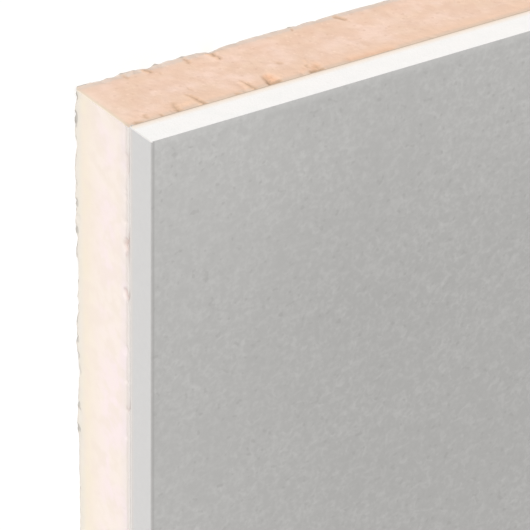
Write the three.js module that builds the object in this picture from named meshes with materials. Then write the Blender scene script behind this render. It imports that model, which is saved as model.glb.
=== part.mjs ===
// Insulated plasterboard: a drywall sheet with a rigid foam board bonded to its back.
// The sheet lies flat, foam down and paper face up. X runs across it, Y along it and Z
// through it, and the origin is in the middle of the underside. Millimetres.

import * as THREE from 'three';

// Sheet
const sheetWidth = 1200;
const sheetLength = 2400;

// Insulation board, and the thin tissue on its underside
const insulationThickness = 30;
const facingThickness = 0.4;

// Plasterboard, its paper included. Its bound long edges stop just inside the foam's.
const plasterboardThickness = 12.5;
const plasterboardInset = 0.5;
const paperThickness = 0.4;

// The face paper is wrapped round each long edge and folded in over the back
const paperFoldWidth = 25;
const frontArrisRadius = 0.6;
const backArrisRadius = 1.2;
const arrisSteps = 6;

// Heights of the layers above the floor
const foamBottom = facingThickness;
const foamTop = insulationThickness;
const coreBottom = foamTop + paperThickness;
const sheetTop = foamTop + plasterboardThickness;

// Half widths, from the middle of the sheet
const foamSide = sheetWidth / 2;
const boardSide = foamSide - plasterboardInset;
const foldSide = boardSide - paperFoldWidth;

// Quarter of a circle from one angle to the next, in degrees, as section points
function arris(centreX, centreZ, radius, fromAngle, toAngle) {
  const points = [];
  for (let step = 0; step <= arrisSteps; step += 1) {
    const angle = THREE.MathUtils.degToRad(fromAngle + (toAngle - fromAngle) * step / arrisSteps);
    points.push(new THREE.Vector2(
      centreX + radius * Math.cos(angle),
      centreZ + radius * Math.sin(angle),
    ));
  }
  return points;
}

// The plasterboard's outline at a depth below its paper's surface, run from the inner
// edge of the right-hand fold, round over the face, to the inner edge of the left-hand one
function wrappedOutline(depth) {
  const rightBack = boardSide - backArrisRadius;
  const rightFront = boardSide - frontArrisRadius;
  const backRadius = backArrisRadius - depth;
  const frontRadius = frontArrisRadius - depth;
  const backCentre = foamTop + backArrisRadius;
  const frontCentre = sheetTop - frontArrisRadius;
  const bottom = foamTop + depth;
  return [
    new THREE.Vector2(foldSide, bottom),
    ...arris(rightBack, backCentre, backRadius, -90, 0),
    ...arris(rightFront, frontCentre, frontRadius, 0, 90),
    ...arris(-rightFront, frontCentre, frontRadius, 90, 180),
    ...arris(-rightBack, backCentre, backRadius, 180, 270),
    new THREE.Vector2(-foldSide, bottom),
  ];
}

// Rectangle across the sheet, between two heights
function slabOutline(side, bottom, top) {
  return [
    new THREE.Vector2(-side, bottom),
    new THREE.Vector2(side, bottom),
    new THREE.Vector2(side, top),
    new THREE.Vector2(-side, top),
  ];
}

// Every layer is made on a continuous line, so each is one section run along the sheet
function layer(name, outline, material) {
  const geometry = new THREE.ExtrudeGeometry(new THREE.Shape(outline), {
    depth: sheetLength,
    bevelEnabled: false,
  });
  geometry.rotateX(Math.PI / 2);
  geometry.translate(0, sheetLength / 2, 0);
  const mesh = new THREE.Mesh(geometry, material);
  mesh.name = name;
  return mesh;
}

// Glass tissue on the underside of the foam
const facingMaterial = new THREE.MeshStandardMaterial({
  color: 0xd9cdc0,
  roughness: 0.9,
  metalness: 0,
});
const rearFacing = layer(
  'rear_facing',
  slabOutline(foamSide, 0, foamBottom),
  facingMaterial,
);

// Rigid foam board, sawn at its ends
const foamMaterial = new THREE.MeshStandardMaterial({
  color: 0xf0d0bb,
  roughness: 0.95,
  metalness: 0,
});
const insulationFoam = layer(
  'insulation_foam',
  slabOutline(foamSide, foamBottom, foamTop),
  foamMaterial,
);

// Back paper, laid between the two folds of the face paper
const backPaperMaterial = new THREE.MeshStandardMaterial({
  color: 0xb3a596,
  roughness: 0.9,
  metalness: 0,
});
const backPaper = layer(
  'back_paper',
  slabOutline(foldSide, foamTop, coreBottom),
  backPaperMaterial,
);

// Gypsum core, which fills the paper from edge to edge and shows at the cut ends
const gypsumMaterial = new THREE.MeshStandardMaterial({
  color: 0xf6f5f3,
  roughness: 0.85,
  metalness: 0,
});
const gypsumCore = layer('gypsum_core', wrappedOutline(paperThickness), gypsumMaterial);

// Grey face paper: the face, both long edges and the folds on the back, as one sheet
const facePaperMaterial = new THREE.MeshStandardMaterial({
  color: 0xb6b5b3,
  roughness: 0.8,
  metalness: 0,
});
const facePaper = layer(
  'face_paper',
  [...wrappedOutline(0), ...wrappedOutline(paperThickness).reverse()],
  facePaperMaterial,
);

const sheet = new THREE.Group();
sheet.add(rearFacing, insulationFoam, backPaper, gypsumCore, facePaper);

export default sheet;
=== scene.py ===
import math

import bpy
import numpy as np
from mathutils import Matrix, Vector


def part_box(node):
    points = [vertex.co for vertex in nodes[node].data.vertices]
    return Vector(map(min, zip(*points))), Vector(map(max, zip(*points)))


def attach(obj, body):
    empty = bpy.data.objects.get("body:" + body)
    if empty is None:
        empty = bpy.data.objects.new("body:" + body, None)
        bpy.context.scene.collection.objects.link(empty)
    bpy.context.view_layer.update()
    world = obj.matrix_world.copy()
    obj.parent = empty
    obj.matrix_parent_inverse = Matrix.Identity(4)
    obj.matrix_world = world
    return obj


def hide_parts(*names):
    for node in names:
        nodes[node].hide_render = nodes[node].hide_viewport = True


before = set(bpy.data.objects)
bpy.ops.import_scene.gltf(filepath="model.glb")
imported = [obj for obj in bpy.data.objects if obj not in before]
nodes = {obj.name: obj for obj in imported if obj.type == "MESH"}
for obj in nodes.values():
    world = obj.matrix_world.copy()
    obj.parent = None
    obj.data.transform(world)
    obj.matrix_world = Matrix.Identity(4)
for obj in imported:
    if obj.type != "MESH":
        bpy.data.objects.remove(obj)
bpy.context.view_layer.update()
bpy.ops.object.select_all(action="DESELECT")
bpy.context.scene.view_settings.view_transform = "Standard"

# ---------------------------------------------------------------------------
# Insulation board: a slab of rigid closed-cell foam, glued to the plasterboard's back.
# Its long sides keep the pale skin it was made with. Its ends are sawn, so they show
# the salmon inside, and bits of foam have broken out along the arrises.

foam_low, foam_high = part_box("insulation_foam")

# The worn corner is the left one of the head end. The walls are divided finely as far as
# this from it, and coarsely past that.
WORN_REACH = 0.17
FINE_CELL = 0.0011
COARSE_CELL = 0.008
FOAM_ROWS = 27

# Points and planes nearer to each other than this are in the same place
TOUCHING = 1e-5


def stand_wall(start, end, cell, low, high, rows):
    """Stand an upright grid of cells on the line from one corner to another."""
    run = Vector(end) - Vector(start)
    middle = Vector((*((Vector(start) + Vector(end)) / 2), (low + high) / 2))
    bpy.ops.mesh.primitive_grid_add(
        x_subdivisions=round(run.length / cell),
        y_subdivisions=rows,
        size=1,
        location=middle,
        rotation=(math.pi / 2, 0, math.atan2(run.y, run.x)),
    )

    # The grid is flat, so across the wall there is nothing to stretch
    stretch = (abs(run.x) or 1, abs(run.y) or 1, high - low)
    bpy.ops.transform.resize(value=stretch, center_override=middle)


def cut_slab(name, low, high, rows):
    """Start a slab as four walls, which meet at its corners."""
    mesh = bpy.data.meshes.new(name)
    slab = bpy.data.objects.new(name, mesh)
    bpy.context.scene.collection.objects.link(slab)
    bpy.ops.object.select_all(action="DESELECT")
    bpy.context.view_layer.objects.active = slab
    slab.select_set(True)
    left, right, foot, head = low.x, high.x, low.y, high.y
    bpy.ops.object.mode_set(mode="EDIT")
    for start, end, cell in (
        ((left, head), (left + WORN_REACH, head), FINE_CELL),
        ((left + WORN_REACH, head), (right, head), COARSE_CELL),
        ((right, head), (right, foot), COARSE_CELL),
        ((right, foot), (left, foot), COARSE_CELL),
        ((left, foot), (left, head - WORN_REACH), COARSE_CELL),
        ((left, head - WORN_REACH), (left, head), FINE_CELL),
    ):
        stand_wall(start, end, cell, low.z, high.z, rows)
    bpy.ops.mesh.select_all(action="SELECT")
    bpy.ops.mesh.remove_doubles(threshold=TOUCHING)
    bpy.ops.object.mode_set(mode="OBJECT")
    return slab, mesh


def read(mesh, part, name, width):
    """One array of a mesh's numbers, a row for each vertex, edge or face."""
    items = getattr(mesh, part)
    values = np.zeros(len(items) * width, np.float32)
    items.foreach_get(name, values)
    return values.reshape(-1, width)


def pick(mesh, part, chosen):
    """Go into edit mode with only the chosen vertices or faces of the mesh selected."""
    for kind in ("vertices", "edges", "polygons"):
        items = getattr(mesh, kind)
        mask = chosen if kind == part else np.zeros(len(items), bool)
        items.foreach_set("select", mask)
    bpy.ops.object.mode_set(mode="EDIT")
    bpy.ops.mesh.select_mode(type="VERT" if part == "vertices" else "FACE")


def inside(mesh, low, high):
    """Which faces of a mesh have their middle in a box."""
    centres = read(mesh, "polygons", "center", 3)
    return ((centres > low) & (centres < high)).all(axis=1)


def refine(mesh, chosen, cuts):
    """Cut the chosen faces into smaller ones."""
    pick(mesh, "polygons", chosen)
    bpy.ops.mesh.subdivide(number_cuts=cuts)
    bpy.ops.object.mode_set(mode="OBJECT")


def close_slab(mesh, low, high):
    """Close the slab's two broad faces and turn every face outwards."""
    for level in (low.z, high.z):
        heights = read(mesh, "vertices", "co", 3)[:, 2]
        pick(mesh, "vertices", abs(heights - level) < TOUCHING)
        bpy.ops.mesh.edge_face_add()
        bpy.ops.object.mode_set(mode="OBJECT")
    bpy.ops.object.mode_set(mode="EDIT")
    bpy.ops.mesh.select_all(action="SELECT")
    bpy.ops.mesh.normals_make_consistent(inside=False)
    bpy.ops.object.mode_set(mode="OBJECT")


# A break runs in steps of about this length, and each turn is moved aside by up to the
# ragged width. The points that lie within the grip of its line are pressed in.
RAGGED_STEP = 0.0012
RAGGED_WIDTH = 0.00035
GRIP = 0.00018
jitter = np.random.default_rng(12)

# A wall's own points lie no farther in than this
WALL_DEPTH = 0.0042

# Cracks in the sawn head end, in millimetres: the distance from the worn corner and the
# height of the two ends of a short line, how deep the foam has torn there, and how far
# round it the foam gives way
CRACKS_AT_HEAD = (
    (4.0, 28.9, 5.4, 29.9, 1.7, 1.5),
    (8.7, 26.2, 8.3, 28.0, 1.2, 1.4),
    (12.8, 28.7, 13.2, 30.0, 1.3, 1.1),
    (19.9, 24.8, 19.0, 26.7, 1.2, 1.7),
    (19.2, 26.7, 19.0, 28.5, 1.4, 1.9),
    (18.9, 28.4, 19.5, 30.0, 1.9, 1.7),
    (29.4, 18.2, 29.5, 19.4, 0.6, 1.4),
    (39.6, 29.2, 40.6, 30.0, 1.3, 1.2),
    (53.1, 24.6, 52.7, 26.8, 1.1, 1.9),
    (52.8, 26.7, 52.5, 28.8, 1.7, 2.1),
    (52.4, 28.4, 52.5, 30.0, 3.2, 2.1),
    (52.9, 28.3, 54.8, 28.9, 2.6, 2.0),
    (62.1, 18.8, 62.5, 19.4, 1.1, 1.6),
    (67.2, 29.4, 70.8, 29.2, 2.5, 1.7),
    (70.8, 26.5, 70.4, 28.4, 1.1, 2.0),
    (68.2, 25.6, 68.5, 24.6, 1.2, 1.1),
    (17.2, 1.4, 17.5, 3.0, 1.0, 1.3),
    (39.2, 1.5, 38.9, 3.8, 1.3, 1.4),
    (13.1, 13.2, 13.3, 12.6, 0.6, 0.8),
    (27.5, 5.8, 28.1, 5.0, 0.6, 0.7),
    (78.6, 2.2, 79.2, 1.2, 1.2, 0.8),
    (86.2, 10.6, 87.0, 9.8, 0.6, 0.7),
    (95.8, 1.4, 97.4, 4.2, 1.7, 1.5),
)

# Cracks whose left bank stands up as a flap
FLAPS_AT_HEAD = (
    (26.3, 22.0, 26.8, 23.3, 1.2, 1.4),
    (26.8, 23.2, 27.1, 25.4, 1.6, 1.5),
    (27.2, 25.4, 27.2, 27.8, 2.0, 1.6),
    (27.2, 27.7, 27.8, 30.0, 2.7, 1.6),
    (45.4, 23.1, 45.8, 25.6, 0.9, 1.6),
    (45.9, 25.4, 46.0, 29.3, 1.7, 1.7),
    (47.6, 1.8, 48.0, 4.2, 2.3, 1.6),
    (48.0, 4.2, 48.4, 6.6, 1.7, 1.6),
    (24.8, 1.4, 25.4, 2.9, 1.9, 1.6),
)

# How far a flap reaches on the left of its crack, how far it stands out, how deep in
# millimetres the crack beside a full one is, and how much of the crack it hides
FLAP_REACH = 0.0021
FLAP_RISE = 0.0003
FULL_FLAP = 2
FLAP_COVER = 0.7

# Shallow hollows beside the cracks, where the skin of the saw cut has come away
SCOOPS_AT_HEAD = (
    (2.5, 27.5, 6.5, 25.5, 0.35, 3.0),
    (43.4, 27.4, 43.8, 25.0, 0.5, 1.8),
    (53.4, 28.4, 54.2, 24.4, 1.3, 2.7),
    (64.6, 27.4, 66.4, 26.0, 0.45, 2.6),
    (68.8, 28.6, 71.2, 25.8, 0.8, 2.6),
    (82.5, 28.1, 97.5, 29.0, 0.65, 3.6),
)

# Low swellings, where the foam has lifted without breaking
SWELLINGS_AT_HEAD = (
    (19.6, 27.4, 24.4, 26.4, 0.1, 2.2),
    (57.0, 27.8, 57.6, 25.4, 0.08, 1.4),
    (69.2, 22.9, 69.4, 21.6, 0.1, 1.0),
)

# The notch that is bitten out of the rear arris, wide and then again in its middle
NOTCH_AT_HEAD = (
    (48.0, 0.6, 50.4, 0.4, 0.5, 2.4),
    (48.2, 0.6, 50.2, 0.4, 0.45, 1.2),
)

# How far the rear arris lies in from its wall, or out where it is below zero, at each
# distance from the worn corner: along the head end, and along the left side
WANDER_AT_HEAD = (
    (0.0, -0.2), (6.0, -0.35), (9.4, 0.2), (12.0, -0.15), (14.0, 0.2), (16.0, -0.35),
    (21.2, -0.45), (23.0, -0.3), (26.3, 0.45), (27.2, 0.35), (29.0, -0.4), (31.0, 0.0),
    (33.0, -0.35), (35.0, -0.15), (39.0, -0.25), (44.0, 0.0), (47.0, 0.5), (50.0, 0.05),
    (51.3, 0.4), (57.0, 0.2), (64.0, -0.1), (90.0, 0.0),
)
WANDER_AT_SIDE = (
    (0.0, 0.5), (2.0, 0.1), (4.4, 0.4), (7.0, -0.3), (14.0, -0.3), (16.8, -0.3),
    (18.0, 0.6), (19.2, 0.6), (20.5, 0.2), (27.0, -0.55), (33.0, -0.25), (39.8, -0.5),
    (41.0, 0.1), (42.4, -0.4), (48.6, -0.45), (51.2, 0.4), (54.4, -0.2), (58.2, -0.15),
    (59.2, 0.6), (65.0, 0.7), (67.0, 0.3), (70.0, 0.4), (72.3, -0.4), (74.2, 0.7),
    (76.0, -0.1), (77.4, 0.3), (81.0, -0.65), (84.0, -0.2), (87.2, -0.7), (92.0, -0.35),
    (98.0, 0.25), (99.2, 0.85), (103.0, 0.15), (110.0, -0.2), (119.5, -0.7), (127.0, 0.0),
)

# Dents in the front arris of the long left side, as at the head end, but the distances run
# along the side
DENTS_AT_SIDE = (
    (9.0, 29.6, 16.0, 30.0, 0.4, 1.2),
    (38.8, 29.4, 40.6, 28.8, 0.9, 1.7),
    (40.6, 29.2, 43.4, 29.8, 0.7, 1.4),
    (56.0, 28.6, 58.4, 29.8, 0.8, 1.5),
    (97.4, 29.6, 98.8, 30.0, 0.5, 1.3),
)

# Nicks in the rear arris of that side
NICKS_AT_SIDE = (
    (0.8, 0.9, 2.4, 1.0, 1.2, 1.5),
    (7.8, 0.8, 10.6, 0.9, 1.1, 1.4),
    (11.4, 0.8, 12.2, 0.9, 0.8, 1.2),
    (15.8, 0.8, 16.4, 1.0, 0.5, 1.0),
    (24.4, 0.5, 27.0, 0.6, 0.3, 0.9),
    (31.0, 0.8, 32.2, 1.0, 0.6, 1.0),
    (38.0, 0.9, 39.2, 1.1, 1.0, 1.3),
    (47.4, 0.7, 48.8, 1.0, 1.0, 1.3),
    (53.0, 0.6, 57.0, 0.9, 0.5, 1.0),
    (65.8, 0.6, 66.8, 0.8, 0.5, 1.0),
    (79.6, 0.4, 81.4, 0.6, 0.5, 1.0),
    (86.4, 0.6, 87.6, 0.8, 1.0, 1.3),
    (92.6, 0.9, 93.6, 1.1, 0.8, 1.1),
    (96.0, 1.2, 99.0, 2.2, 0.5, 1.2),
    (110.8, 0.8, 112.4, 1.1, 1.0, 1.3),
    (119.4, 0.5, 120.6, 0.8, 1.1, 1.4),
)

# How much of its depth each kind of break is pressed in, and what turns a break into a rise of the
# foam. The rest of the depth is only painted, and in a crack it is painted shade.
CRACK_OPENING = 0.12
SCOOP_OPENING = 0.5
NICK_OPENING = 0.4
OUTWARDS = -1


def ragged_line(place, to, on_flat):
    """The turns of a ragged line on the flat of a wall, from one place to another."""
    count = 2 + round(math.dist(place, to) / RAGGED_STEP)
    turns = np.linspace(place, to, count)
    turns[1:-1] += jitter.uniform(-1, 1, (count - 2, 3)) * RAGGED_WIDTH * on_flat
    return turns


def break_out(mesh, place, to, push, reach, falloff):
    """Press a slab's wall in along a ragged line, and less and less round about it.

    Return how near each point is to the line, from 0 out of its reach to 1 on it, and
    the same for the broader strip of foam on the left of the line."""
    inwards = np.array(push) != 0
    points = read(mesh, "vertices", "co", 3)
    buried = abs(points - place)[:, inwards][:, 0] > WALL_DEPTH

    # Nearness is judged on the flat of the wall, so that an earlier break doesn't matter
    points[:, inwards] = np.array(place)[inwards]
    turns = ragged_line(place, to, ~inwards)
    out_of_reach = 1.0
    away = np.full(len(points), out_of_reach)
    aside = np.zeros(len(points))
    for start, end in zip(turns, turns[1:]):
        line = end - start
        share = np.clip((points - start) @ line / max(line @ line, 1e-12), 0, 1)
        offset = points - start - share[:, None] * line
        gap = np.linalg.norm(offset, axis=1)
        aside = np.where(gap < away, offset[:, 0] / np.maximum(gap, 1e-9), aside)
        away = np.minimum(away, gap)
    away[buried] = out_of_reach

    # Where the mesh is coarse, the grip still takes hold of the nearest point
    pick(mesh, "vertices", away < max(GRIP, away.min() * 1.01))
    bpy.ops.transform.translate(
        value=push,
        use_proportional_edit=True,
        proportional_edit_falloff=falloff,
        proportional_size=reach,
    )
    bpy.ops.object.mode_set(mode="OBJECT")
    on_left = np.clip(-aside, 0, 1) * np.clip(1 - away / FLAP_REACH, 0, 1)
    return np.clip(1 - away / reach, 0, 1), on_left


def break_head(mesh, breaks, falloff, share=1.0):
    """Make breaks in the head end's wall. Return how deep in one each point is, and how
    far on the left of one, in the same measure."""
    felt = np.zeros(len(mesh.vertices))
    beside = np.zeros(len(mesh.vertices))
    for from_x, from_z, to_x, to_z, depth, reach in breaks:
        place = (foam_low.x + from_x / 1000, foam_high.y, from_z / 1000)
        to = (foam_low.x + to_x / 1000, foam_high.y, to_z / 1000)
        push = (0, -share * depth / 1000, 0)
        near, on_left = break_out(mesh, place, to, push, reach / 1000, falloff)
        felt = np.maximum(felt, near * depth)
        beside = np.maximum(beside, on_left * depth)
    return felt, beside


def break_side(mesh, breaks, falloff, share=1.0):
    """Make breaks in the left side's wall, and return how deep in one each point is."""
    felt = np.zeros(len(mesh.vertices))
    for from_y, from_z, to_y, to_z, depth, reach in breaks:
        place = (foam_low.x, foam_high.y - from_y / 1000, from_z / 1000)
        to = (foam_low.x, foam_high.y - to_y / 1000, to_z / 1000)
        push = (share * depth / 1000, 0, 0)
        near, _ = break_out(mesh, place, to, push, reach / 1000, falloff)
        felt = np.maximum(felt, near * depth)
    return felt


def paint(mesh, name, domain, values):
    """Keep a number for each point or face, for the finish to read."""
    kept = mesh.attributes.new(name, "FLOAT", domain)
    kept.data.foreach_set("value", values.astype(np.float32))


def cloudy(name, grain, depth, levels=None):
    """A cloudy pattern, or only what rises from one level to the other in it."""
    texture = bpy.data.textures.new(name, "CLOUDS")
    texture.noise_scale = grain
    texture.noise_depth = depth
    if levels:
        texture.use_color_ramp = True
        stops = texture.color_ramp.elements
        stops[0].position, stops[1].position = levels
        stops[0].color, stops[1].color = (0, 0, 0, 1), (1, 1, 1, 1)
    return texture


# The patterns of unevenness: their sizes, how many finer ones are laid over each, and for
# some of them the part of the pattern that stands out
WAVES = cloudy("foam_waves", 0.016, 1)
TEARS = cloudy("foam_tears", 0.003, 2)
SHREDS = cloudy("foam_shreds", 0.0011, 2)
CRUMBS = cloudy("foam_crumbs", 0.005, 3, (0.6, 0.72))
NIBBLES = cloudy("foam_nibbles", 0.0026, 3, (0.3, 0.9))
WAVERS = cloudy("foam_wavers", 0.004, 1)


def wander(along, course):
    """How far in the rear arris lies at each distance along its wall, in millimetres."""
    distances, depths = np.array(course).T
    return np.interp(along * 1000, distances, depths)


def mark_wall(slab, wall, on_wall, weights_by_label):
    """Keep how much each point of a wall takes part in each of its reliefs."""
    for label, weights in weights_by_label.items():
        group = slab.vertex_groups.new(name=wall + label)
        for index in on_wall[weights[on_wall] > 0]:
            group.add([int(index)], float(weights[index]), "REPLACE")


def relieve_wall(slab, wall, axis, reliefs):
    """Push a wall's marked points in and out along an axis, by each relief in turn."""
    for texture, label, strength, level in reliefs:
        displace = slab.modifiers.new("relief", "DISPLACE")
        displace.texture = texture
        displace.texture_coords = "LOCAL"
        displace.vertex_group = wall + label
        displace.direction = axis
        displace.strength = strength
        displace.mid_level = level


# How far from an arris the foam is crumbled, chipped, bitten or rounded, how deep a tear
# has to be to end in shreds, and the sharpest turn that is shaded as a smooth one
CRUMBLED_REACH = 0.004
CHIPPED_REACH = 0.0016
BITTEN_REACH = 0.0018
ROUNDED_REACH = 0.0007
SHREDDED_DEPTH = 0.0012
SMOOTH_TURN = math.radians(50)


def roughen(slab, mesh, flapped):
    """Give each wall its unevenness, which is strong at sawn ends and slight at sides,
    and raise the flaps at the head end."""
    points = read(mesh, "vertices", "co", 3)
    above, below = points[:, 2], foam_high.z - points[:, 2]
    from_left, from_head = points[:, 0] - foam_low.x, foam_high.y - points[:, 1]
    at_head = wander(from_left, WANDER_AT_HEAD)
    at_side = wander(from_head, WANDER_AT_SIDE)
    past_worn_corner = np.maximum(from_left, from_head) > WORN_REACH
    none = np.zeros(len(points))
    for name, axis, offset, inwards, sawn, wandered, flaps in (
        ("head", "Y", -from_head, -1, True, at_head, flapped),
        ("foot", "Y", points[:, 1] - foam_low.y, 1, True, none, none),
        ("left", "X", from_left, 1, False, at_side, none),
        ("right", "X", points[:, 0] - foam_high.x, -1, False, none, none),
    ):
        on_wall = np.flatnonzero(abs(offset) < WALL_DEPTH)
        mark_wall(slab, name, on_wall, {
            "wall": np.ones(len(points)),
            "arrises": 1 - np.minimum(above, below) / CRUMBLED_REACH,
            "rear_arris": 1 - above / CHIPPED_REACH,
            "far_arris": (1 - above / BITTEN_REACH) * past_worn_corner,
            "bitten": (1 - above / BITTEN_REACH) * np.maximum(0, wandered),
            "frayed": (1 - above / BITTEN_REACH) * np.maximum(0, -wandered),
            "front_arris": 1 - below / ROUNDED_REACH,
            "torn": np.minimum(1, inwards * offset / SHREDDED_DEPTH),
            "flaps": flaps,
        })

        # Pattern, which points it moves, how far in metres, and the level that stays put
        relieve_wall(slab, name, axis, (
            (WAVES, "wall", 0.0005 if sawn else 0.0002, 0.5),
            (TEARS, "wall", 0.0003 if sawn else 0.00012, 0.5),
            (CRUMBS, "arrises", inwards * 0.0004, 0),
            (SHREDS, "torn", 0.0006, 0.5),
            (NIBBLES, "rear_arris", inwards * (0.0001 if sawn else 0.0003), 0),
            (None, "rear_arris", inwards * (-0.00022 if sawn else 0.0005), 0),
            (WAVERS, "far_arris", 0.0008 if sawn else 0.0016, 0.5),
            (None, "bitten", inwards * 0.001, 0),
            (None, "frayed", inwards * -0.001, 0),
            (None, "flaps", inwards * -FLAP_RISE, 0),
            (None, "front_arris", inwards * (0.0003 if sawn else 0.0001), 0),
        ))
    for displace in list(slab.modifiers):
        bpy.ops.object.modifier_apply(modifier=displace.name)
    slab.vertex_groups.clear()
    bpy.ops.object.shade_smooth_by_angle(angle=SMOOTH_TURN)


foam, foam_mesh = cut_slab("foam_board", foam_low, foam_high, FOAM_ROWS)

# Both walls are cut finer again near the worn corner. A box that is a hair wider than a
# wall takes in the wall's faces.
HAIR = 0.0003
worn_corner = Vector((foam_low.x, foam_high.y, 0))
refined_reach = WORN_REACH - COARSE_CELL
past_corner = Vector((HAIR, HAIR, 0))
along_head = Vector((refined_reach, HAIR, foam_high.z))
refine(foam_mesh, inside(foam_mesh, worn_corner - past_corner, worn_corner + along_head), cuts=2)
along_side = Vector((HAIR, refined_reach, 0))
side_top = worn_corner + Vector((HAIR, 0, foam_high.z))
refine(foam_mesh, inside(foam_mesh, worn_corner - along_side, side_top), cuts=1)

# The foam is finest just round the cracks, which are narrow
close_by = np.zeros(len(foam_mesh.polygons), bool)
for from_x, from_z, to_x, to_z, _, reach in CRACKS_AT_HEAD + FLAPS_AT_HEAD:
    margin = Vector((reach / 1000 + HAIR, HAIR, reach / 1000 + HAIR))
    lowest = Vector((min(from_x, to_x), 0, min(from_z, to_z))) / 1000
    highest = Vector((max(from_x, to_x), 0, max(from_z, to_z))) / 1000
    close_by |= inside(foam_mesh, worn_corner + lowest - margin, worn_corner + highest + margin)
refine(foam_mesh, close_by, cuts=1)
close_slab(foam_mesh, foam_low, foam_high)

in_scoop, _ = break_head(foam_mesh, SCOOPS_AT_HEAD, "SMOOTH", SCOOP_OPENING)
break_head(foam_mesh, NOTCH_AT_HEAD, "SMOOTH")
swollen, _ = break_head(foam_mesh, SWELLINGS_AT_HEAD, "SMOOTH", OUTWARDS)
in_crack, _ = break_head(foam_mesh, CRACKS_AT_HEAD, "SHARP", CRACK_OPENING)
by_flap, on_flap = break_head(foam_mesh, FLAPS_AT_HEAD, "SHARP", CRACK_OPENING)
on_flap = np.minimum(1, on_flap / FULL_FLAP)
in_crack = np.maximum(in_crack, by_flap * (1 - on_flap * FLAP_COVER))
in_dent = break_side(foam_mesh, DENTS_AT_SIDE, "SMOOTH")
in_nick = break_side(foam_mesh, NICKS_AT_SIDE, "SMOOTH", NICK_OPENING)
roughen(foam, foam_mesh, on_flap)

# How deep each point lies under the flat of its wall and in each kind of break, in millimetres, how
# much it has lifted, which the finish paints as a highlight, and which faces keep the skin
DEEPEST_SINK = 4
SWELLING_LIFT = 5
points = read(foam_mesh, "vertices", "co", 3)
half_width, half_length = foam_high.x, foam_high.y
sink = np.minimum(half_width - abs(points[:, 0]), half_length - abs(points[:, 1]))
paint(foam_mesh, "sink", "POINT", np.clip(sink * 1000, 0, DEEPEST_SINK))
paint(foam_mesh, "crack", "POINT", in_crack)
paint(foam_mesh, "scoop", "POINT", in_scoop)
paint(foam_mesh, "lift", "POINT", np.maximum(swollen * SWELLING_LIFT, on_flap))
paint(foam_mesh, "dent", "POINT", in_dent)
paint(foam_mesh, "nick", "POINT", in_nick)
centres = read(foam_mesh, "polygons", "center", 3)
long_side = half_width - abs(centres[:, 0]) < half_length - abs(centres[:, 1])
underside = centres[:, 2] < foam_low.z + TOUCHING
glued_side = centres[:, 2] > foam_high.z - TOUCHING
paint(foam_mesh, "skin", "FACE", long_side | underside | glued_side)


class Wire:
    """A socket in a finish's nodes. Arithmetic on it adds Math nodes."""

    def __init__(self, socket):
        self.socket = socket

    def node(self, kind, settings, inputs, output=0):
        """Add a node: first its settings, then the value or wire of each input."""
        tree = self.socket.id_data
        made = tree.nodes.new(kind)
        for name, value in settings.items():
            setattr(made, name, value)
        for name, value in inputs.items():
            if isinstance(value, Wire):
                tree.links.new(value.socket, made.inputs[name])
            else:
                made.inputs[name].default_value = value
        return Wire(made.outputs[output])

    def math(self, operation, first, second):
        """Add a Math node."""
        return self.node("ShaderNodeMath", {"operation": operation}, {0: first, 1: second})

    def __add__(self, other):
        return self.math("ADD", self, other)

    def __sub__(self, other):
        return self.math("SUBTRACT", self, other)

    def __rsub__(self, other):
        return self.math("SUBTRACT", other, self)

    def __mul__(self, other):
        return self.math("MULTIPLY", self, other)

    __radd__ = __add__
    __rmul__ = __mul__


def tint(red, green, blue):
    """A colour as a screen shows it, each part from 0 to 255, turned into light."""
    screen = (red / 255, green / 255, blue / 255)
    return (*(((part + 0.055) / 1.055) ** 2.4 for part in screen), 1)


def rise(value, start, end):
    """0 at start and 1 at end, with a soft slope between them."""
    return value.node(
        "ShaderNodeMapRange",
        {"interpolation_type": "SMOOTHSTEP"},
        {"Value": value, "From Min": start, "From Max": end},
    )


def blend(share, first, second):
    """The first colour, giving way to the second as share goes from 0 to 1."""
    return share.node(
        "ShaderNodeMix", {"data_type": "RGBA"}, {0: share, 6: first, 7: second}, 2
    )


def mottle(place, size, detail=2.0, harshness=0.5, swirl=0.0):
    """Soft random patches of a size in metres, 0.5 on average."""
    return place.node("ShaderNodeTexNoise", {}, {
        "Vector": place,
        "Scale": 1 / size,
        "Detail": detail,
        "Roughness": harshness,
        "Distortion": swirl,
    })


def cells(place, size):
    """How far a place is from the middle of the nearest random cell of a size in metres,
    as a share of that size."""
    return place.node("ShaderNodeTexVoronoi", {}, {"Vector": place, "Scale": 1 / size})


def painted(place, name):
    """A number that was kept for each point or face."""
    return place.node("ShaderNodeAttribute", {"attribute_name": name}, {}, 2)


def height_of(place):
    """How high a place is above the floor."""
    return place.node("ShaderNodeSeparateXYZ", {}, {"Vector": place}, 2)


def from_edge(place, axis, edge):
    """How far in a place lies from the nearer of two opposite edges."""
    along = place.node("ShaderNodeSeparateXYZ", {}, {"Vector": place}, axis)
    return edge - along.node("ShaderNodeMath", {"operation": "ABSOLUTE"}, {0: along})


FAINT_SHEEN = 0.3


def finish(name, roughness):
    """A plain material, its shader and a wire for places on the object."""
    material = bpy.data.materials.new(name)
    material.use_nodes = True
    shader = material.node_tree.nodes["Principled BSDF"]
    shader.inputs["Roughness"].default_value = roughness
    shader.inputs["Specular IOR Level"].default_value = FAINT_SHEEN
    places = material.node_tree.nodes.new("ShaderNodeTexCoord")
    return material, shader, Wire(places.outputs["Object"])


def wear(shader, colour, height, relief_depth):
    """Give a shader its colour and the small bumps of its surface, in metres."""
    settings = {"Strength": 1.0, "Distance": relief_depth, "Height": height}
    bump = height.node("ShaderNodeBump", {}, settings)
    tree = shader.id_data
    tree.links.new(colour.socket, shader.inputs["Base Color"])
    tree.links.new(bump.socket, shader.inputs["Normal"])


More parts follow.
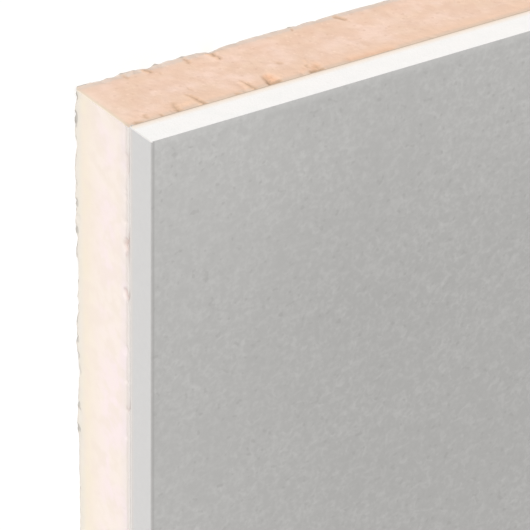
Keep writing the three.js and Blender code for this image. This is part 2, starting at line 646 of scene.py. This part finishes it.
foam_finish, foam_shader, place = finish("salmon_foam", 0.95)
sunk = painted(place, "sink")
cracked = painted(place, "crack")
scooped = painted(place, "scoop")
lifted = painted(place, "lift")
dented = painted(place, "dent")
nicked = painted(place, "nick")
skinned = painted(place, "skin")
above_floor = height_of(place)
below_board = foam_high.z - above_floor
from_side = from_edge(place, 0, foam_high.x)
patches = mottle(place, 0.011)
blotches = mottle(place, 0.0052)
freckles = mottle(place, 0.0016, 3.0, 0.6)

# The sawn foam: mottled salmon, with pale and dark cells
sawn = blend(rise(patches, 0.35, 0.65), tint(245, 216, 199), tint(238, 208, 185))
sawn = blend(rise(freckles, 0.3, 0.75) * 0.2, sawn, tint(231, 197, 174))
sawn = blend(rise(blotches, 0.36, 0.66) * 0.65, sawn, tint(232, 198, 175))
sawn = blend(rise(cells(place, 0.0026), 0.24, 0.1) * 0.38, sawn, tint(253, 224, 205))
sawn = blend(rise(cells(place, 0.0033), 0.22, 0.1) * 0.36, sawn, tint(219, 182, 158))

# It is deeper towards the plasterboard and pale at its long sides
near_board = rise(below_board - patches * 0.006, 0.0065, -0.002)
sawn = blend(near_board * 0.8, sawn, tint(238, 203, 178))
sawn = blend(rise(from_side, 0.009, 0.002) * 0.35, sawn, tint(248, 223, 203))
sawn = blend(rise(from_side, 0.0022, 0.0006) * 0.6, sawn, tint(230, 217, 196))
sawn = blend(rise(from_side, 0.0008, 0.0001) * 0.9, sawn, tint(250, 238, 222))

# Painted shade darkens the foam along the plasterboard, and the foam greys towards the tissue
board_line_shade = rise(below_board - freckles * 0.0006, 0.0024, -0.0004)
sawn = blend(board_line_shade * 0.7, sawn, tint(208, 190, 174))
near_tissue = rise(above_floor + patches * 0.002, 0.0066, 0.0016)
sawn = blend(near_tissue * 0.27, sawn, tint(212, 198, 187))
low_greying = rise(above_floor + freckles * 0.004, 0.0049, 0.0022) * rise(from_side, -0.006, 0.014)
sawn = blend(low_greying * 0.36, sawn, tint(206, 200, 191))
lowest_greying = rise(above_floor, 0.0001, 0.0011) * rise(above_floor + freckles * 0.001, 0.003, 0.0017)
sawn = blend(lowest_greying * 0.3, sawn, tint(203, 199, 194))

# Lifted flaps and swellings are painted bright, as a highlight, and painted shade makes a tear
# browner the deeper it goes
sawn = blend(rise(lifted, 0.05, 0.6) * 0.65, sawn, tint(247, 211, 181))
sawn = blend(rise(scooped, 0.1, 1.0) * 0.7, sawn, tint(232, 182, 146))
sawn = blend(rise(sunk, 0.5, 1.6) * 0.35, sawn, tint(224, 178, 144))
sawn = blend(rise(cracked, 0.0, 0.9) * 0.5, sawn, tint(226, 189, 159))
sawn = blend(rise(cracked, 0.3, 2.1) * 0.8, sawn, tint(184, 154, 128))

# Away from the worn corner there are only small upright tears along both arrises, drawn in painted
# shade without relief
far_off = place.node("ShaderNodeVectorMath", {"operation": "DISTANCE"}, {0: place, 1: worn_corner}, 1)
unworn = rise(far_off, WORN_REACH - 0.02, WORN_REACH + 0.02)
squeezed = place.node("ShaderNodeMapping", {}, {"Vector": place, "Scale": (1.0, 1.0, 0.3)})
small_tears = rise(mottle(squeezed, 0.0024, 1.0), 0.66, 0.72) * unworn
near_arris = rise(below_board, 0.006, 0.001) + rise(above_floor, 0.006, 0.003)
sawn = blend(small_tears * near_arris * 0.6, sawn, tint(196, 158, 130))

# The skin of the long sides: cream, and greyer along both arrises
cream = blend(rise(patches, 0.35, 0.65), tint(247, 232, 231), tint(246, 234, 225))
cream = blend(rise(above_floor + patches * 0.012, 0.024, 0.009), cream, tint(241, 230, 212))
cream = blend(rise(blotches, 0.4, 0.66) * 0.6, cream, tint(240, 227, 215))
cream = blend(rise(below_board, 0.0055, 0.0018) * 0.22, cream, tint(226, 219, 224))
cream = blend(rise(below_board, 0.0015, 0.00005) * 0.85, cream, tint(220, 212, 206))
cream = blend(rise(above_floor, 0.0062, 0.001) * 0.7, cream, tint(229, 226, 220))

# The ledge beside the plasterboard, paler further in with painted light against the shade of the
# groove, then the dents and nicks of the side
ledge = blend(rise(from_side, 0.0002, 0.0005), tint(241, 234, 229), tint(252, 247, 243))
cream = blend(rise(below_board, 0.00005, 0.0), cream, ledge)
# Painted shade darkens the side where it is sunk, dented or nicked; where the skin is broken, the
# salmon inside shows too
cream = blend(rise(sunk, 0.45, 1.2) * 0.5, cream, tint(226, 196, 172))
cream = blend(rise(dented, 0.0, 0.8) * 0.6, cream, tint(204, 184, 178))
cream = blend(rise(nicked, 0.1, 0.7) * 0.75, cream, tint(190, 186, 180))
grain = mottle(place, 0.0006, 3.0, 0.65) + freckles * 0.8
wear(foam_shader, blend(skinned, sawn, cream), grain, 0.000045)

foam_mesh.materials.append(foam_finish)
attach(foam, "root")
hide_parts("insulation_foam")

# ---------------------------------------------------------------------------
# Tissue facing: a thin veil of glass fibres bonded to the underside of the foam. Its edge
# is frayed, and it has torn back a little where the foam has broken out above it.

tissue_low, tissue_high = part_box("rear_facing")
TISSUE_ROWS = 1
tissue, tissue_mesh = cut_slab("tissue_facing", tissue_low, tissue_high, TISSUE_ROWS)
fine_edge = inside(tissue_mesh, worn_corner - past_corner, worn_corner + along_head)
refine(tissue_mesh, fine_edge, cuts=1)
close_slab(tissue_mesh, tissue_low, tissue_high)

# Where tufts of the tissue stick out at the head end
TUFTS_AT_HEAD = (
    (16.4, 0.0, 17.2, 0.0, 0.15, 0.8),
    (28.6, 0.0, 29.4, 0.0, 0.2, 0.8),
    (38.2, 0.0, 39.2, 0.0, 0.15, 0.8),
    (78.4, 0.0, 79.0, 0.0, 0.2, 0.9),
)
break_head(tissue_mesh, NOTCH_AT_HEAD, "SMOOTH")
in_tuft, _ = break_head(tissue_mesh, TUFTS_AT_HEAD, "SMOOTH", OUTWARDS)
in_nick = break_side(tissue_mesh, NICKS_AT_SIDE, "SMOOTH", NICK_OPENING)
no_flaps = np.zeros(len(tissue_mesh.vertices))
roughen(tissue, tissue_mesh, no_flaps)
paint(tissue_mesh, "tuft", "POINT", in_tuft)
paint(tissue_mesh, "nick", "POINT", in_nick)

tissue_finish, tissue_shader, place = finish("tissue_veil", 0.9)
threads = mottle(place, 0.0015, 3.0, 0.7)
stains = rise(mottle(place, 0.005, 3.0, 0.6), 0.42, 0.6)
veil = blend(threads, tint(221, 213, 205), tint(234, 227, 220))
veil = blend(stains * 0.6, veil, tint(186, 178, 170))
veil = blend(rise(painted(place, "tuft"), 0.0, 0.2), veil, tint(178, 172, 162))
veil = blend(rise(painted(place, "nick"), 0.0, 0.5) * 0.85, veil, tint(184, 180, 174))
wear(tissue_shader, veil, threads, 0.0001)
tissue_mesh.materials.append(tissue_finish)
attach(tissue, "root")
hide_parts("rear_facing")

# ---------------------------------------------------------------------------
# Back paper: the brown-grey liner on the back of the core, between the two folds of
# the face paper. It shows as a thin line at the cut ends.


def dress(layer, material):
    """Give one of the part's own layers its finish, in place of its plain colour."""
    layer.data.materials.clear()
    layer.data.materials.append(material)


liner_finish, liner_shader, place = finish("back_liner", 0.9)
pulp = mottle(place, 0.001, 3.0, 0.6)
wear(liner_shader, blend(pulp, tint(186, 166, 146), tint(208, 190, 170)), pulp, 0.0001)
dress(nodes["back_paper"], liner_finish)

# ---------------------------------------------------------------------------
# Gypsum core: white plaster, poured wet between the papers so that it holds to both. It
# is sawn through at the ends, where it shows as a white band.

plaster_finish, plaster_shader, place = finish("white_gypsum", 0.85)
crystals = mottle(place, 0.0009, 4.0, 0.65)
clouding = mottle(place, 0.008)
plaster = blend(rise(clouding, 0.3, 0.7), tint(250, 248, 246), tint(247, 246, 244))
plaster = blend(rise(crystals, 0.45, 0.8) * 0.35, plaster, tint(240, 239, 236))
above_foam = height_of(place) - foam_high.z
plaster = blend(rise(above_foam, 0.0036, 0.0008) * 0.85, plaster, tint(247, 232, 217))
plaster = blend(rise(above_foam, 0.0014, 0.0005) * 0.7, plaster, tint(231, 212, 196))
wear(plaster_shader, plaster, crystals, 0.0001)
dress(nodes["gypsum_core"], plaster_finish)

# ---------------------------------------------------------------------------
# Face paper: one sheet of grey board over the face, round both long edges and a thumb's
# breadth in over the back. It is paler on the edges, where it was drawn tight, and a
# scored line runs along the face just inside each edge.

_, paper_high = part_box("face_paper")
paper_finish, paper_shader, place = finish("grey_face_paper", 0.8)
inset = from_edge(place, 0, paper_high.x)
end_inset = from_edge(place, 1, paper_high.y)
above_foam = height_of(place) - foam_high.z
below_face = paper_high.z - height_of(place)

# The face: grey, a little paler towards its edges, where light is painted on, with fibres and dark
# specks
painted_light_near_edges = rise(inset, 0.09, -0.01) * 0.5 + rise(end_inset, 0.09, -0.01) * 0.5
grey = blend(painted_light_near_edges, tint(183, 182, 180), tint(200, 199, 197))
shade = blend(painted_light_near_edges, tint(173, 172, 170), tint(189, 188, 186))
pulp = mottle(place, 0.0036, 3.0, 0.6)
flecks = mottle(place, 0.0017, 1.0)
fibres = mottle(place, 0.0034, swirl=1.1)
specks = mottle(place, 0.0024, 1.0)
grey = blend(rise(mottle(place, 0.03, 1.0), 0.3, 0.7) * 0.45, grey, shade)
grey = blend(rise(pulp, 0.35, 0.65) * 0.85, grey, shade)
grey = blend(rise(flecks, 0.35, 0.65) * 0.75, grey, shade)
grey = blend(rise(fibres, 0.5, 0.7) * 0.18, grey, tint(206, 205, 203))
grey = blend(rise(specks, 0.64, 0.76) * 0.26, grey, tint(150, 148, 145))
grey = blend(rise(end_inset, 0.0028, 0.0004) * 0.3, grey, tint(208, 207, 205))
score = rise(inset, 0.0, 0.0003) * rise(inset, 0.0014, 0.0008)
grey = blend(score * 0.5, grey, tint(162, 160, 158))

# The bound edge: paler, with painted light that makes it warm and near white next to the foam, in the
# shade of its rounded back arris, and painted shade that makes it dark where it turns on to the face
edge_grey = blend(flecks, tint(211, 210, 209), tint(207, 206, 205))
edge_grey = blend(rise(above_foam, 0.0036, 0.0006) * 0.5, edge_grey, tint(222, 212, 204))
edge_grey = blend(rise(above_foam, 0.00155, 0.0004), edge_grey, tint(252, 247, 244))
edge_grey = blend(rise(below_face, 0.0007, 0.0001) * 0.8, edge_grey, tint(180, 178, 176))
paper = blend(rise(inset, 0.0002, 0.00002), grey, edge_grey)

# The fold on the back is stained by the glue, and the cut ends are nearly white
folded_in = rise(above_foam, 0.0006, 0.0003) * rise(inset, 0.0014, 0.002)
paper = blend(folded_in, paper, tint(194, 174, 155))
cut_end = rise(end_inset, 0.0002, 0.00005) * rise(inset, 0.0007, 0.0004)
paper = blend(cut_end, paper, tint(236, 233, 230))
wear(paper_shader, paper, pulp + flecks * 0.5, 0.00008)
dress(nodes["face_paper"], paper_finish)

# ---------------------------------------------------------------------------
# Floor: plain and pale. What looks straight at it sees it a little lighter than it is,
# so that it reads as white, and it keeps the sheet's shadow.

FLOOR_WIDTH = 160
FLOOR_TONE = (0.8, 0.8, 0.8, 1)
FLOOR_LIFT = 0.28
bpy.ops.mesh.primitive_plane_add(size=FLOOR_WIDTH, location=(0, 0, 0))
floor = bpy.context.object
floor.name = "floor"
floor_finish, floor_shader, _ = finish("pale_floor", 1.0)
floor_shader.inputs["Base Color"].default_value = FLOOR_TONE


def looks_in(tree):
    """1 for a ray that looks at something itself, or sees it in metal or through glass."""
    rays = tree.nodes.new("ShaderNodeLightPath")
    return (
        Wire(rays.outputs["Is Camera Ray"])
        + Wire(rays.outputs["Is Glossy Ray"])
        + Wire(rays.outputs["Is Transmission Ray"])
    )


looks = looks_in(floor_finish.node_tree)
plain_floor = Wire(floor_shader.outputs[0])
glow = looks.node("ShaderNodeEmission", {}, {"Strength": FLOOR_LIFT})
lifted_floor = looks.node("ShaderNodeAddShader", {}, {0: plain_floor, 1: glow})
surface = looks.node("ShaderNodeMixShader", {}, {0: looks, 1: plain_floor, 2: lifted_floor})
floor_output = floor_finish.node_tree.nodes["Material Output"]
floor_finish.node_tree.links.new(surface.socket, floor_output.inputs["Surface"])
floor.data.materials.append(floor_finish)

# ---------------------------------------------------------------------------
# Light: an even white surround, a broad soft key from the left of the head end, and a
# weak fill from the other side.

SURROUND = 0.5
WHITE = (1, 1, 1, 1)
world = bpy.data.worlds.new("studio")
world.use_nodes = True
bpy.context.scene.world = world
looks = looks_in(world.node_tree)
lit = looks.node("ShaderNodeBackground", {}, {"Color": WHITE, "Strength": SURROUND})
seen = looks.node("ShaderNodeBackground", {}, {"Color": WHITE, "Strength": 1.0})
surface = looks.node("ShaderNodeMixShader", {}, {0: looks, 1: lit, 2: seen})
world_output = world.node_tree.nodes["World Output"]
world.node_tree.links.new(surface.socket, world_output.inputs["Surface"])


def shine(name, towards, strength, softness):
    """A distant lamp that shines along a direction, with soft shadows."""
    bpy.ops.object.light_add(type="SUN", location=(0, 0, 3))
    lamp = bpy.context.object
    lamp.name = name
    lamp.rotation_euler = Vector(towards).to_track_quat("-Z", "Y").to_euler()
    lamp.data.energy = strength
    lamp.data.angle = math.radians(softness)


shine("key", (0.6, -0.54, -0.59), 2.1, 40)
shine("fill", (-0.5, 0.5, -0.4), 0.4, 60)

# ---------------------------------------------------------------------------
# Camera: looks down on the head end's left corner through a long lens, and is turned so
# that the sheet's length runs up its view.

AIM = Vector((-0.55814, 1.14642, 0.0425))
EYE = Vector((-1.07747, 1.65608, 0.78512))
ROLL = math.radians(1.108)
LENS = 230.9
SENSOR_WIDTH = 36
NEAREST_SEEN = 0.05
FARTHEST_SEEN = 300
bpy.ops.object.camera_add(location=EYE)
camera = bpy.context.object
camera.data.lens = LENS
camera.data.sensor_width = SENSOR_WIDTH
camera.data.clip_start = NEAREST_SEEN
camera.data.clip_end = FARTHEST_SEEN
backwards = (EYE - AIM).normalized()
rightwards = Vector((0, 1, 0)).cross(backwards).normalized()
upwards = backwards.cross(rightwards)
upright = Matrix((rightwards, upwards, backwards)).transposed()
turned = upright @ Matrix.Rotation(ROLL, 3, "Z")
camera.matrix_world = Matrix.Translation(EYE) @ turned.to_4x4()
bpy.context.scene.camera = camera
